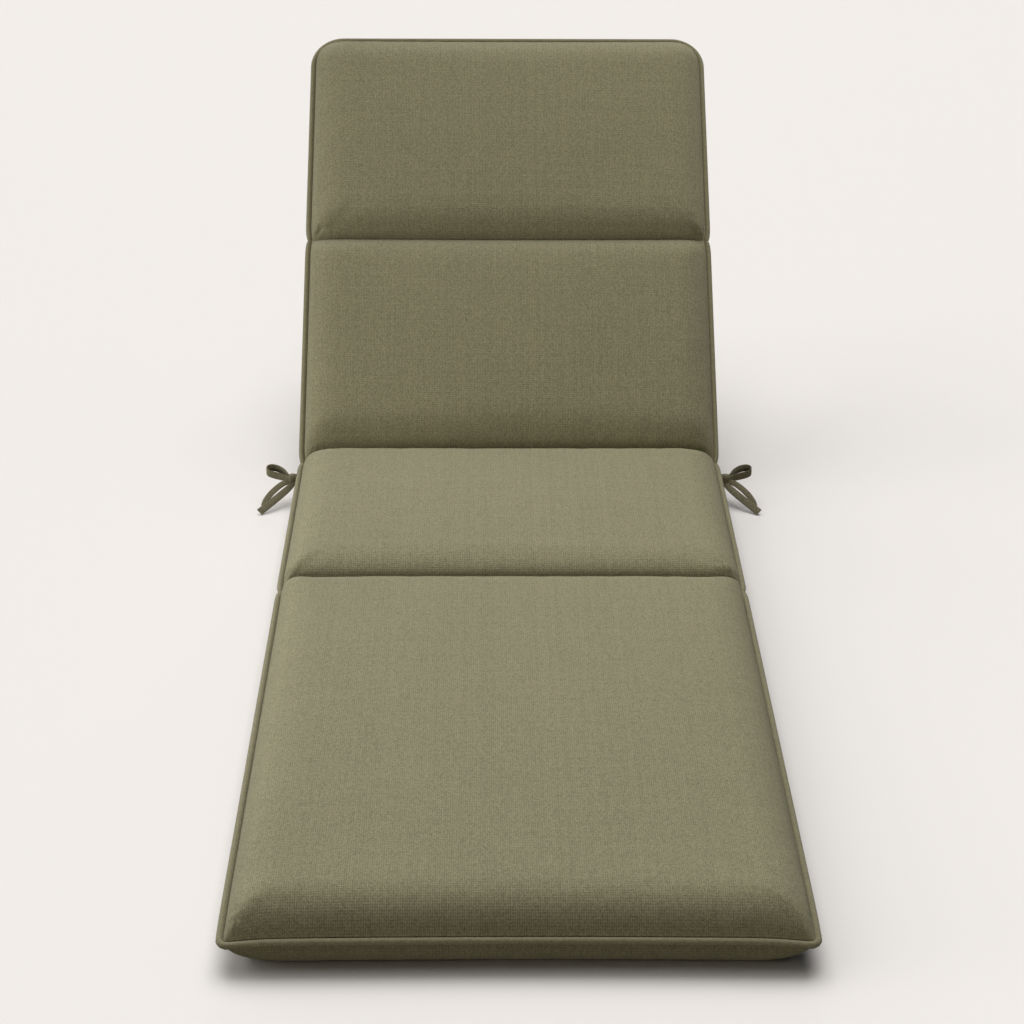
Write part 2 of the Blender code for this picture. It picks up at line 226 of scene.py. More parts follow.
across_line = graded(2 * HALF_CLOTH, COLUMN_SPANS) - HALF_CLOTH
across_line = np.concatenate([[-HALF_CLOTH - TUCK], across_line, [HALF_CLOTH + TUCK]])
starts = np.concatenate([[CLOTH_EDGE], JOINTS])
finishes = np.concatenate([JOINTS, [LENGTH - CLOTH_EDGE]])
row_parts = [
    start + graded(finish - start, spans)[1:]
    for start, finish, spans in zip(starts, finishes, ROW_SPANS)
]
station_line = np.concatenate([[CLOTH_EDGE - TUCK, CLOTH_EDGE], *row_parts, [LENGTH - CLOTH_EDGE + TUCK]])
panel_index = np.concatenate([[0, 0], np.repeat(np.arange(len(PANELS)), ROW_SPANS), [len(PANELS) - 1]])
kept_rows = np.concatenate([[0], np.arange(1, len(station_line) - 1, 2), [len(station_line) - 1]])
kept_columns = np.concatenate([[0], np.arange(1, len(across_line) - 1, 2), [len(across_line) - 1]])
print("cloth grid:", len(station_line), "rows of", len(across_line), "points on top")


def by_row(values):
    """One value for each panel, spread over that panel's rows, as a column."""
    return np.array(values, float)[panel_index][:, None]


def column(name):
    """One column of the panels' table, spread over the rows of each panel."""
    return by_row([getattr(panel, name) for panel in PANELS])


# %% [markdown]
# ## The filled form
# The height of the cloth over its seam is a product: a share that rises from both ends of the panel,
# a share that rises from both sides, and the filling's rise with its crown. By the first channel
# the filling is packed closer into the sides, which are squarer there. At the fold the two
# panels press on each other along one plane on top and part underneath. Then the raised panels turn
# up about the fold.

# %% Surface of the cover
SQUARE_SHARE, SQUARE_SPAN = 0.50, 0.060


def bend(station, height, raised):
    """(y, z) in the side view: raised points turn up about the fold by the recline angle."""
    along = station - FOLD
    turned_y = FOLD + along * math.cos(RECLINE) - height * math.sin(RECLINE)
    turned_z = along * math.sin(RECLINE) + height * math.cos(RECLINE)
    return np.where(raised, turned_y, station), np.where(raised, turned_z, height) + SEAM_HEIGHT


def cover_heights(top):
    """The filled height at each point of the grid, over the seam on top or under it."""
    station, across = station_line[:, None], across_line[None, :]
    low, high = by_row(starts), by_row(finishes)
    to_side = HALF_CLOTH - np.abs(across)
    to_rim = np.minimum(to_side, np.minimum(station - CLOTH_EDGE, LENGTH - CLOTH_EDGE - station))
    sewn = np.where(to_rim < -TUCK / 2, TUCK_HALF, SEWN_HALF)
    along = np.clip((station - low) / (high - low), 0.0, 1.0)
    crown = (1.0 - (2.0 * along - 1.0) ** 2) * np.maximum(1.0 - (across / HALF_CLOTH) ** 2, 0.0)
    if top:
        foot_end = rounded(station - low, column("foot_reach")) ** column("foot_power")
        head_end = rounded(high - station, column("head_reach")) ** column("head_power")
        lift = column("top_rise") + column("top_crown") * crown
        narrowed = SQUARE_SHARE * np.exp(-(((station - JOINTS[0]) / SQUARE_SPAN) ** 2))
        return sewn + foot_end * head_end * bulged(to_side, TOP_SIDE_REACH * (1.0 - narrowed)) * lift
    reach = column("under_reach")
    ends = bulged(station - low, reach) * bulged(high - station, reach)
    drop = column("under_rise") + column("under_crown") * crown
    return -(sewn + ends * bulged(to_side, UNDER_SIDE_REACH) * drop)


def cover_points(height, top):
    """World points of one cover, from its heights over the seam."""
    station, across = np.broadcast_arrays(station_line[:, None], across_line[None, :])
    flat = column("lies_flat") > 0.5
    pressed = np.maximum(0.0, 1.0 - np.abs(station - FOLD) / SQUEEZE_REACH)
    lean = np.where(flat, math.tan(SEAT_FACE_LEAN), math.tan(BACK_FACE_LEAN))
    shift = height * pressed * (lean if top else UNDER_OPENING)
    x, y = round_corner(across, station, CLOTH_EDGE - TUCK, FOOT_CORNER - CLOTH_EDGE + TUCK)
    x, y = round_corner(x, y, LENGTH - CLOTH_EDGE + TUCK, HEAD_CORNER - CLOTH_EDGE + TUCK)
    x, y = drawn_edge(x, y)
    height = height - corner_droop(x, y)
    height = np.where(flat, np.maximum(height, -SEAM_HEIGHT), height)
    y, z = bend(np.where(flat, y - shift, y + shift), height, ~flat)
    return np.stack([x, y, z], axis=-1)


top_height, under_height = cover_heights(True), cover_heights(False)
top_points = cover_points(top_height, True)
under_points = cover_points(under_height, False)[np.ix_(kept_rows, kept_columns)]
print("fullest height over the seam:", round(float(top_height.max()) * 1000, 1), "mm")

# %% [markdown]
# ## Making meshes
# One helper turns grids of points into a mesh with a UV map in metres of cloth. Every material
# measures its weave on that map, so threads keep their size on steep sides.

# %% Grid mesh helper


def grid_faces(rows, columns, around=False, start=0):
    """Quads of a grid of points, numbered row by row. Around joins the last column to the first."""
    i, j = np.meshgrid(np.arange(rows - 1), np.arange(columns if around else columns - 1), indexing="ij")
    k = (j + 1) % columns
    this_row, next_row = i * columns, (i + 1) * columns
    quads = np.stack([this_row + j, this_row + k, next_row + k, next_row + j], axis=-1)
    return quads.reshape(-1, 4) + start


def new_object(name, points, faces, uv=None):
    """A smooth object from points and faces, with a UV for each corner where uv is given."""
    mesh = bpy.data.meshes.new(name)
    mesh.from_pydata(points.tolist(), [], [list(face) for face in faces])
    if uv is not None:
        mesh.uv_layers.new(name="cloth").data.foreach_set("uv", uv.reshape(-1))
    mesh.shade_smooth()
    mesh.update()
    thing = bpy.data.objects.new(name, mesh)
    bpy.context.scene.collection.objects.link(thing)
    return thing


def arc_lengths(points, axis):
    """Distance along the cloth from the first point, averaged over the other direction."""
    steps = np.linalg.norm(np.diff(points, axis=axis), axis=-1)
    total = np.cumsum(steps.mean(axis=1 - axis))
    return np.concatenate([[0.0], total])


# %% [markdown]
# ## Blowing up the cover
# The closed form is made of two grids joined round their edge. As in a real cushion, the seams are
# held and the filling presses outward. A cloth simulation with pressure does that on the coarser
# grid. The cloth is cut a little large, so it gathers where it is sewn. What comes back is only the
# movement of each point. A smooth cap holds it, and a share of it is spread over the fine grid.

# %% Simulate the filling's pressure
PRESSURE = 4.0
SPARE_CLOTH = 0.012
CLOTH_QUALITY, SIMULATED_FRAMES = 5, 20
MOST_MOVEMENT, LEAST_MOVEMENT = 0.008, 1e-9
SHOWN_MOVEMENT = 0.20
ON_GROUND = 0.0005


def band_faces(fine, coarse, kept):
    """Faces between an edge and a coarser one, where kept are the fine edge's places on both."""
    spans = enumerate(zip(kept[:-1], kept[1:]))
    return [[fine[a], coarse[n], coarse[n + 1], *fine[a + 1:b + 1][::-1]] for n, (a, b) in spans]


def shell_faces(rows, columns, by_rows, by_columns):
    """Top grid, underside grid of the kept rows and columns, and a band round the edge."""
    fine = np.arange(rows * columns).reshape(rows, columns)
    coarse = np.arange(len(by_rows) * len(by_columns)).reshape(len(by_rows), len(by_columns)) + fine.size
    faces = grid_faces(rows, columns).tolist()
    faces += grid_faces(*coarse.shape, start=fine.size)[:, ::-1].tolist()
    faces += band_faces(fine[0], coarse[0], by_columns)
    faces += band_faces(fine[:, -1], coarse[:, -1], by_rows)
    faces += band_faces(fine[-1, ::-1], coarse[-1, ::-1], columns - 1 - by_columns[::-1])
    faces += band_faces(fine[::-1, 0], coarse[::-1, 0], rows - 1 - by_rows[::-1])
    return faces


def blown_up(top, under, held):
    """Movement of both covers' points after the filling has pressed them outward."""
    rows, columns = top.shape[:2]
    points = np.concatenate([top.reshape(-1, 3), under.reshape(-1, 3)])
    trial = new_object("trial", points, shell_faces(rows, columns, np.arange(rows), np.arange(columns)))
    group = trial.vertex_groups.new(name="sewn")
    group.add(np.flatnonzero(held).tolist(), 1.0, "REPLACE")
    cloth = trial.modifiers.new("cloth", "CLOTH")
    cloth.settings.quality = CLOTH_QUALITY
    cloth.settings.vertex_group_mass = group.name
    cloth.settings.use_pressure = True
    cloth.settings.uniform_pressure_force = PRESSURE
    cloth.settings.shrink_min = -SPARE_CLOTH
    cloth.settings.effector_weights.gravity = 0.0
    cloth.collision_settings.use_collision = False
    cloth.point_cache.frame_end = SIMULATED_FRAMES
    for number in range(1, SIMULATED_FRAMES + 1):
        bpy.context.scene.frame_set(number)
    settled = trial.evaluated_get(bpy.context.evaluated_depsgraph_get()).data
    after = np.empty(len(points) * 3)
    settled.vertices.foreach_get("co", after)
    data = trial.data
    bpy.data.objects.remove(trial)
    bpy.data.meshes.remove(data)
    bpy.context.scene.frame_set(1)
    moved = after.reshape(-1, 3) - points
    size = np.maximum(np.linalg.norm(moved, axis=1, keepdims=True), LEAST_MOVEMENT)
    moved *= SHOWN_MOVEMENT * MOST_MOVEMENT * np.tanh(size / MOST_MOVEMENT) / size
    return moved.reshape(2, rows, columns, 3)


def finer(values, axis):
    """Twice as many spans along one axis: each new point is a cubic through its four neighbours."""
    values = np.moveaxis(values, axis, 0)
    ends = np.concatenate([2 * values[:1] - values[1:2], values, 2 * values[-1:] - values[-2:-1]])
    between = (9 * (ends[1:-2] + ends[2:-1]) - ends[:-3] - ends[3:]) / 16
    out = np.empty((2 * len(values) - 1, *values.shape[1:]))
    out[::2], out[1::2] = values, between
    return np.moveaxis(out, 0, axis)


def filling_movement():
    """Both covers' simulated movement, nought where cloth is sewn, tucked or on the ground."""
    top_moved, under_moved = np.zeros_like(top_points), np.zeros_like(under_points)
    top, under = top_points[1:-1:2, 1:-1:2], under_points[1:-1, 1:-1]
    sewn = np.zeros(top.shape[:2], bool)
    sewn[[0, -1]] = sewn[:, [0, -1]] = True
    sewn |= np.isin(station_line[1:-1:2], JOINTS)[:, None]
    grounded = under[..., 2] < ON_GROUND
    held = np.concatenate([sewn.ravel(), (sewn | grounded).ravel()])
    moved = blown_up(top, under, held)
    top_moved[1:-1, 1:-1] = finer(finer(moved[0], 0), 1)
    under_moved[1:-1, 1:-1] = moved[1]
    return top_moved, under_moved


top_moved, under_moved = filling_movement()
print("most the filling moves the cloth:", round(float(np.abs(top_moved).max()) * 1000, 1), "mm")

# %% [markdown]
# ## Creases
# Where a channel runs out into the piping, and at the corners, the spare cloth gathers into short
# creases. Each row of the table is one crease or a few side by side, in millimetres: where the first
# starts (in from the side edge, and on from a station), the step to the next, the turn of its line
# (0 degrees inward, 90 towards the head), its length, width and height. A negative height is a
# trough. Fainter ripples stand square to the whole edge, as on any gathered seam.

# %% Creases of the sewn edge
Crease = namedtuple(
    "Crease", "place side station inward onward step_in step_on copies turn length width height"
)
CREASES = (
    Crease("first channel right, seat", 1, JOINTS[0], 8.0, 7.0, 5.5, -0.5, 4, 45, 14.0, 1.7, 1.80),
    Crease("first channel right, leg", 1, JOINTS[0], 8.0, -5.0, 5.5, -1.0, 3, -35, 14.0, 1.8, 0.40),
    Crease("first channel left, seat", -1, JOINTS[0], 7.0, 4.0, 6.0, 1.0, 2, 40, 14.0, 1.8, 0.50),
    Crease("fold right, back", 1, FOLD, 6.0, 5.0, 5.0, -1.0, 3, 55, 18.0, 1.8, 0.90),
    Crease("fold left, back", -1, FOLD, 6.0, 5.0, 5.5, -1.0, 2, 55, 18.0, 1.8, 0.80),
    Crease("fold right, seat", 1, FOLD, 6.0, -6.0, 5.0, 1.0, 3, -50, 14.0, 1.7, 0.50),
    Crease("third channel right, facet", 1, JOINTS[2], 3.0, 5.0, 0.0, 0.0, 1, 48, 20.0, 3.0, 2.20),
    Crease("third channel right, fold", 1, JOINTS[2], 2.0, 1.5, 0.0, 0.0, 1, 24, 22.0, 2.0, -2.20),
    Crease("third channel right, hollow", 1, JOINTS[2], 3.0, -4.0, 0.0, 0.0, 1, -40, 15.0, 3.5, -2.00),
    Crease("third channel left, head", -1, JOINTS[2], 2.0, 1.5, 0.0, 0.0, 1, 26, 20.0, 2.0, -1.80),
    Crease("third channel left, facet", -1, JOINTS[2], 3.0, 5.0, 0.0, 0.0, 1, 48, 18.0, 3.0, 1.60),
    Crease("foot corner right", 1, CLOTH_EDGE, 9.0, 0.5, 5.4, 0.0, 3, 86, 13.0, 1.5, 1.40),
    Crease("foot corner left", -1, CLOTH_EDGE, 9.0, 0.5, 6.0, 0.0, 2, 86, 12.0, 1.6, 1.10),
    Crease("head corner right", 1, LENGTH, 14.0, -17.0, 7.0, 7.0, 2, -45, 17.0, 2.0, 0.45),
    Crease("head corner left", -1, LENGTH, 14.0, -17.0, 7.0, 7.0, 2, -45, 17.0, 2.0, 0.45),
)
COPY_FADES = (1.0, 0.88, 0.76)
EDGE_RIPPLE, EDGE_RIPPLE_LENGTH, EDGE_RIPPLE_REACH = 0.00030, 0.013, 0.014
EDGE_RIPPLE_START = 0.004
SIDE_SEED, SEAM_SEED = 1, 6
WAVES, WAVE_RATES, WAVE_SCALE = 4, (0.6, 1.6), 3.0


def wavering(place, length, seed):
    """A few sine waves about one length long, added up: an uneven ripple of about -1 to 1."""
    numbers = np.random.default_rng(seed)
    waves = [(numbers.uniform(*WAVE_RATES), numbers.uniform(0, 2 * math.pi)) for _ in range(WAVES)]
    return sum(np.sin(2 * math.pi * place * rate / length + start) for rate, start in waves) / WAVE_SCALE


def one_crease(station, across, row, number):
    """A ridge along a line: a bell curve across it, and half a sine wave from end to end."""
    turn = math.radians(row.turn)
    from_start_in = HALF_CLOTH - row.side * across - (row.inward + number * row.step_in) / 1000
    from_start_on = station - row.station - (row.onward + number * row.step_on) / 1000
    ahead = from_start_in * math.cos(turn) + from_start_on * math.sin(turn)
    beside = from_start_on * math.cos(turn) - from_start_in * math.sin(turn)
    share = np.clip(ahead * 1000 / row.length, 0.0, 1.0)
    return row.height / 1000 * np.sin(math.pi * share) * np.exp(-((beside * 1000 / row.width) ** 2))


def creases():
    """Height that the gathered cloth adds over the grid: every crease, and the edge's ripples."""
    station, across = np.broadcast_arrays(station_line[:, None], across_line[None, :])
    to_side = HALF_CLOTH - np.abs(across)
    to_seam = np.minimum(station - by_row(starts), by_row(finishes) - station)
    added = np.zeros(station.shape)
    for row in CREASES:
        for number in range(row.copies):
            added += one_crease(station, across, row, number) * COPY_FADES[number % len(COPY_FADES)]
    by_sides = wavering(station, EDGE_RIPPLE_LENGTH, SIDE_SEED) * np.exp(-to_side / EDGE_RIPPLE_REACH)
    by_seams = wavering(across, EDGE_RIPPLE_LENGTH, SEAM_SEED) * np.exp(-to_seam / EDGE_RIPPLE_REACH)
    fade = eased(np.minimum(to_side, to_seam), 0.0, EDGE_RIPPLE_START)
    return added + EDGE_RIPPLE * fade * (by_sides + by_seams)


def outward(points):
    """Unit normals of a grid surface, from the cross product of its two directions."""
    normal = np.cross(np.gradient(points, axis=1), np.gradient(points, axis=0))
    return normal / np.maximum(np.linalg.norm(normal, axis=-1, keepdims=True), 1e-12)


crease_heights = creases()
top_cloth = top_points + top_moved + crease_heights[..., None] * outward(top_points)
under_cloth = under_points + under_moved
print("deepest crease:", round(float(np.abs(crease_heights).max()) * 1000, 2), "mm")

# %% [markdown]
# ## The finished cushion
# The two covers meet inside the piping, where the real seam is, so nothing shows of their edges.

# %% Build the cushion


def cloth_uv(cover, offset):
    """UV of every point: metres of cloth across and along. The offset lays one cover beside another."""
    u, v = np.meshgrid(arc_lengths(cover, 1) + offset, arc_lengths(cover, 0))
    return np.stack([u, v], axis=-1).reshape(-1, 2)


def make_cushion():
    """The cushion as one closed shell of two covers."""
    faces = shell_faces(*top_cloth.shape[:2], kept_rows, kept_columns)
    points = np.concatenate([top_cloth.reshape(-1, 3), under_cloth.reshape(-1, 3)])
    uv = np.concatenate([cloth_uv(top_cloth, 0.0), cloth_uv(under_cloth, 1.0)])
    return new_object("cushion_cover", points, faces, uv[np.concatenate(faces)])


cushion = make_cushion()
print("cushion cover:", len(cushion.data.polygons), "faces")

# %% [markdown]
# ## Piping
# A cord wrapped in a bias strip of the cloth is sewn into the seam. Its middle follows the outline,
# turns up at the fold round a small arc, and is pinched where each channel meets it. The tube is a
# grid too: rings of points carried along the path.

# %% Piping path
PIPING_STEP = 0.0015
PIPING_SIDES = 16
PIPING_FOLD_RADIUS = 0.009


def piping_outline():
    """(across, station) along the piping's middle, anticlockwise: four sides and four arcs."""
    half = WIDTH / 2 - PIPING_RADIUS
    foot, head = PIPING_RADIUS, LENGTH - PIPING_RADIUS
    foot_radius, head_radius = FOOT_CORNER - PIPING_RADIUS, HEAD_CORNER - PIPING_RADIUS

    def line(start, finish):
        count = round(math.dist(start, finish) / PIPING_STEP)
        return np.linspace(start, finish, count, endpoint=False)

    def arc(centre, radius, start):
        count = max(8, round(radius * math.pi / 2 / PIPING_STEP))
        turn = np.linspace(start, start + math.pi / 2, count, endpoint=False)
        return np.column_stack([centre[0] + radius * np.cos(turn), centre[1] + radius * np.sin(turn)])

    inner_foot, inner_head = foot + foot_radius, head - head_radius
    return np.concatenate([
        line((half, inner_foot), (half, inner_head)),
        arc((half - head_radius, inner_head), head_radius, 0.0),
        line((half - head_radius, head), (head_radius - half, head)),
        arc((head_radius - half, inner_head), head_radius, math.pi / 2),
        line((-half, inner_head), (-half, inner_foot)),
        arc((foot_radius - half, inner_foot), foot_radius, math.pi),
        line((foot_radius - half, foot), (half - foot_radius, foot)),
        arc((half - foot_radius, inner_foot), foot_radius, 1.5 * math.pi),
    ])


def piping_bend(station):
    """(y, z, turn) of the piping's middle in the side view, round a small arc at the fold."""
    half_arc = PIPING_FOLD_RADIUS * math.tan(RECLINE / 2)
    turn = np.clip((station - (FOLD - half_arc)) / (2 * half_arc), 0.0, 1.0) * RECLINE
    beyond = np.maximum(station - (FOLD + half_arc), 0.0)
    before = np.minimum(station, FOLD - half_arc)
    y = before + PIPING_FOLD_RADIUS * np.sin(turn) + beyond * math.cos(RECLINE)
    z = PIPING_FOLD_RADIUS * (1.0 - np.cos(turn)) + beyond * math.sin(RECLINE)
    return y, z + SEAM_HEIGHT, turn


outline_across, outline_station = piping_outline().T
path_x, path_station = drawn_edge(outline_across, outline_station)
path_y, path_z, path_turn = piping_bend(path_station)
path_z = path_z - corner_droop(path_x, path_station)
piping_path = np.column_stack([path_x, path_y, path_z])
piping_up = np.column_stack([np.zeros_like(path_turn), -np.sin(path_turn), np.cos(path_turn)])
piping_along = np.cumsum(np.linalg.norm(piping_path - np.roll(piping_path, 1, axis=0), axis=1))
print("piping:", round(float(piping_along[-1]), 2), "m round")

# %% Piping surface
PINCH, PINCH_REACH = 0.12, 0.0050
HAIRLINE, HAIRLINE_REACH = 0.32, 0.0014
BIAS_WRINKLE, BIAS_WRINKLE_LENGTH = 0.020, 0.0052
CORNER_WRINKLE, CORNER_WRINKLE_REACH = 2.5, 0.030
WRINKLE_SLANT = 0.35
WRINKLE_DRIFT, WRINKLE_DRIFT_LENGTH, WRINKLE_DRIFT_SEED = 2.0, 0.06, 3
WRINKLE_LEVEL, WRINKLE_SWING, WRINKLE_SWING_LENGTH, WRINKLE_SWING_SEED = 0.6, 0.4, 0.19, 4


def piping_points():
    """Rings round the path: radius times pinch at the channels and slanting wrinkles of the strip."""
    ahead = np.roll(piping_path, -1, axis=0) - np.roll(piping_path, 1, axis=0)
    ahead /= np.linalg.norm(ahead, axis=1, keepdims=True)
    outside = np.cross(ahead, piping_up)
    outside /= np.linalg.norm(outside, axis=1, keepdims=True)
    above = np.cross(outside, ahead)
    angle = np.linspace(0, 2 * math.pi, PIPING_SIDES, endpoint=False)[None, :]
    along = piping_along[:, None]
    to_joint = np.min([np.abs(outline_station - joint) for joint in JOINTS], axis=0)[:, None]
    pinch = 1.0 - PINCH * np.exp(-((to_joint / PINCH_REACH) ** 2))
    pinch = pinch - HAIRLINE * np.exp(-((to_joint / HAIRLINE_REACH) ** 2))
    to_corner = np.hypot(WIDTH / 2 - np.abs(outline_across), outline_station)[:, None]
    strength = BIAS_WRINKLE * (1.0 + CORNER_WRINKLE * np.exp(-((to_corner / CORNER_WRINKLE_REACH) ** 2)))
    slant = along / BIAS_WRINKLE_LENGTH + WRINKLE_SLANT * np.sin(angle)
    drift = WRINKLE_DRIFT * wavering(along, WRINKLE_DRIFT_LENGTH, WRINKLE_DRIFT_SEED)
    swing = WRINKLE_SWING * wavering(along, WRINKLE_SWING_LENGTH, WRINKLE_SWING_SEED)
    wrinkle = np.sin(2 * math.pi * slant + drift) * (WRINKLE_LEVEL + swing)
    radius = PIPING_RADIUS * pinch * (1.0 + strength * (wrinkle - 1.0))
    ring = np.cos(angle)[..., None] * outside[:, None] + np.sin(angle)[..., None] * above[:, None]
    return piping_path[:, None] + radius[..., None] * ring


def tube_uv(along, girth, columns):
    """UV at the corners of a tube's quads, row by row: metres along, and metres round of the girth."""
    around = np.arange(columns + 1) / columns * girth
    i, j = np.divmod(np.arange((len(along) - 1) * columns), columns)
    return np.stack([
        np.column_stack([along[i], around[j]]),
        np.column_stack([along[i], around[j + 1]]),
        np.column_stack([along[i + 1], around[j + 1]]),
        np.column_stack([along[i + 1], around[j]]),
    ], axis=1).reshape(-1, 2)


def make_ring_tube(name, points, along, girth):
    """A closed tube from rings of points, whose last ring joins its first."""
    rows, columns = points.shape[:2]
    faces = grid_faces(rows + 1, columns, around=True) % (rows * columns)
    uv = tube_uv(np.concatenate([along - along[0], [along[-1]]]), girth, columns)
    return new_object(name, points.reshape(-1, 3), faces, uv)


piping_rings = piping_points()
piping = make_ring_tube("piping_cord", piping_rings, piping_along, 2 * math.pi * PIPING_RADIUS)
print("piping:", len(piping.data.polygons), "faces")

# %% [markdown]
# ## Ties
# Each tie is one narrow tape, folded and stitched along its edge, and tied in a bow in front of the
# fold. The tables give its loop, its two ends and its root by a few rows, in millimetres from the
# knot's middle: outward from the cushion, towards the foot and upward, with the share of the tape's
# width and thickness at each row. A Catmull-Rom curve through the rows gives the path.

# %% Tie tables
Row = namedtuple("Row", "outward footward upward width thickness")
LOOP = (
    Row(1.0, -1.5, 0.0, 0.55, 1.5),
    Row(5.0, -4.5, 1.5, 0.70, 1.3),
    Row(11.0, -14.0, 3.5, 0.95, 1.0),
    Row(19.0, -22.0, 4.8, 1.00, 1.0),
    Row(28.0, -25.0, 6.0, 1.00, 1.0),
    Row(34.0, -22.0, 6.4, 1.00, 1.0),
    Row(36.3, -16.0, 5.8, 1.00, 1.0),
    Row(34.0, -10.0, 4.6, 1.00, 1.0),
    Row(27.0, -6.5, 3.0, 1.00, 1.0),
    Row(18.0, -4.0, 1.6, 1.00, 1.0),
    Row(10.0, -1.0, 0.6, 0.90, 1.0),
    Row(5.0, 1.6, 0.2, 0.70, 1.3),
    Row(1.0, 2.0, 0.0, 0.55, 1.5),
)
REAR_END = (
    Row(1.5, 0.5, -1.6, 0.65, 1.5),
    Row(6.0, 3.6, -3.2, 0.75, 1.2),
    Row(13.8, 7.6, -5.8, 0.80, 1.0),
    Row(21.3, 14.0, -9.4, 0.80, 1.0),
    Row(29.2, 22.7, -14.5, 0.80, 1.0),
    Row(35.2, 31.0, -20.4, 0.75, 1.0),
    Row(38.0, 37.0, -26.0, 0.70, 1.0),
)
FRONT_END = (
    Row(-4.6, -5.0, 4.5, 0.55, 1.2),
    Row(-4.8, 0.0, 1.0, 0.60, 1.2),
    Row(-2.6, 5.0, -4.0, 0.70, 1.2),
    Row(2.0, 10.0, -8.0, 0.85, 1.1),
    Row(9.0, 18.5, -12.0, 0.97, 1.0),
    Row(19.5, 29.5, -17.3, 1.00, 1.0),
    Row(31.5, 40.5, -23.6, 1.00, 1.0),
    Row(42.5, 51.0, -29.2, 1.00, 1.0),
)
ROOT = (
    Row(-13.4, -16.0, -2.8, 0.90, 0.9),
    Row(-10.0, -15.6, -3.2, 0.90, 0.9),
    Row(-5.5, -13.0, -3.6, 0.80, 0.9),
    Row(-1.4, -8.0, -2.2, 0.60, 1.3),
    Row(-0.4, -2.0, 0.0, 0.60, 1.5),
)
LOOP_EDGE = (0.0, -0.05, 1.0)
END_EDGE = (0.69, -0.445, 0.565)
ROOT_EDGE = (0.0, 1.0, 0.0)
TAPE_WIDTH, TAPE_THICKNESS = 0.0105, 0.0016
TIE_STATION, TIE_DROP = 1.168, 0.002
KNOT_HALF = np.array([0.0046, 0.0066, 0.0074])
KNOT_PLACE = np.array([WIDTH / 2 + 0.0060, TIE_STATION, SEAM_HEIGHT - TIE_DROP])

# %% Tape surface
TAPE_SIDES = 16
SPAN_STEPS = 10
WIDE_POWER, THICK_POWER = 0.45, 0.8
SHARP_ANGLE = math.radians(50)


def smooth_rows(rows):
    """Rows along a smooth curve through the given ones, by Catmull and Rom's rule."""
    table = np.array(rows, float)
    padded = np.vstack([2 * table[0] - table[1], table, 2 * table[-1] - table[-2]])
    share = np.linspace(0.0, 1.0, SPAN_STEPS, endpoint=False)[None, :, None]
    before, start, end, after = (padded[k:len(padded) - 3 + k, None] for k in range(4))
    curve = 2 * start + (end - before) * share
    curve = curve + (2 * before - 5 * start + 4 * end - after) * share**2
    curve = curve + (3 * start - before - 3 * end + after) * share**3
    return np.vstack([(curve / 2).reshape(-1, table.shape[1]), table[-1]])


def tape_section():
    """(wide, thick) of the tape's section: powers of cosine and sine give an oblong with round edges."""
    angle = np.linspace(0, 2 * math.pi, TAPE_SIDES, endpoint=False) + math.pi / TAPE_SIDES
    wide = np.sign(np.cos(angle)) * np.abs(np.cos(angle)) ** WIDE_POWER
    thick = np.sign(np.sin(angle)) * np.abs(np.sin(angle)) ** THICK_POWER
    return wide, thick


def tape_rings(rows, edge_up, side):
    """(rings of points, length along) of one stretch of tape. Side is -1 left and 1 right."""
    table = smooth_rows(rows)
    turn = np.array([side, -1.0, 1.0])
    knot = KNOT_PLACE * np.array([side, 1.0, 1.0])
    path = table[:, :3] / 1000 * turn + knot
    edge = np.array(edge_up) * turn
    ahead = np.gradient(path, axis=0)
    ahead /= np.linalg.norm(ahead, axis=1, keepdims=True)
    wide = edge - (ahead @ edge)[:, None] * ahead
    wide /= np.linalg.norm(wide, axis=1, keepdims=True)
    thick = np.cross(ahead, wide)
    section_wide, section_thick = tape_section()
    rings = path[:, None]
    rings = rings + section_wide[:, None] * (wide * table[:, 3:4] * TAPE_WIDTH / 2)[:, None]
    rings = rings + section_thick[:, None] * (thick * table[:, 4:5] * TAPE_THICKNESS / 2)[:, None]
    along = np.concatenate([[0.0], np.cumsum(np.linalg.norm(np.diff(path, axis=0), axis=1))])
    return rings, along


def capped_faces(rows, columns):
    """Faces of a tube of rings, its two ends shut by flat caps."""
    caps = [range(columns)[::-1], range((rows - 1) * columns, rows * columns)]
    return grid_faces(rows, columns, around=True).tolist() + [list(cap) for cap in caps]


def make_tape(name, rows, edge_up, side):
    """One stretch of tape as a closed piece, its ends shut by flat caps."""
    rings, along = tape_rings(rows, edge_up, side)
    count, sides = rings.shape[:2]
    uv = np.concatenate([tube_uv(along, 2 * TAPE_WIDTH, sides), np.zeros((2 * sides, 2))])
    thing = new_object(name, rings.reshape(-1, 3), capped_faces(count, sides), uv)
    thing.data.set_sharp_from_angle(angle=SHARP_ANGLE)
    return thing, float(along[-1])


# %% Tie both bows
TAPES = (("loop", LOOP, LOOP_EDGE), ("rear_end", REAR_END, END_EDGE))
TAPES += (("front_end", FRONT_END, END_EDGE), ("root", ROOT, ROOT_EDGE))
KNOT_SIDES, KNOT_RINGS, KNOT_ENDS = 40, 31, 0.995
DRUM_POWER, DRUM_ROOT = 3, 0.34
GROOVE_DEPTH, GROOVE_WIDTH, GROOVE_SLANT, GROOVE_TURN = 0.09, 0.10, 0.35, 0.6
LUMP_HEIGHT, LUMPS = 0.03, 3


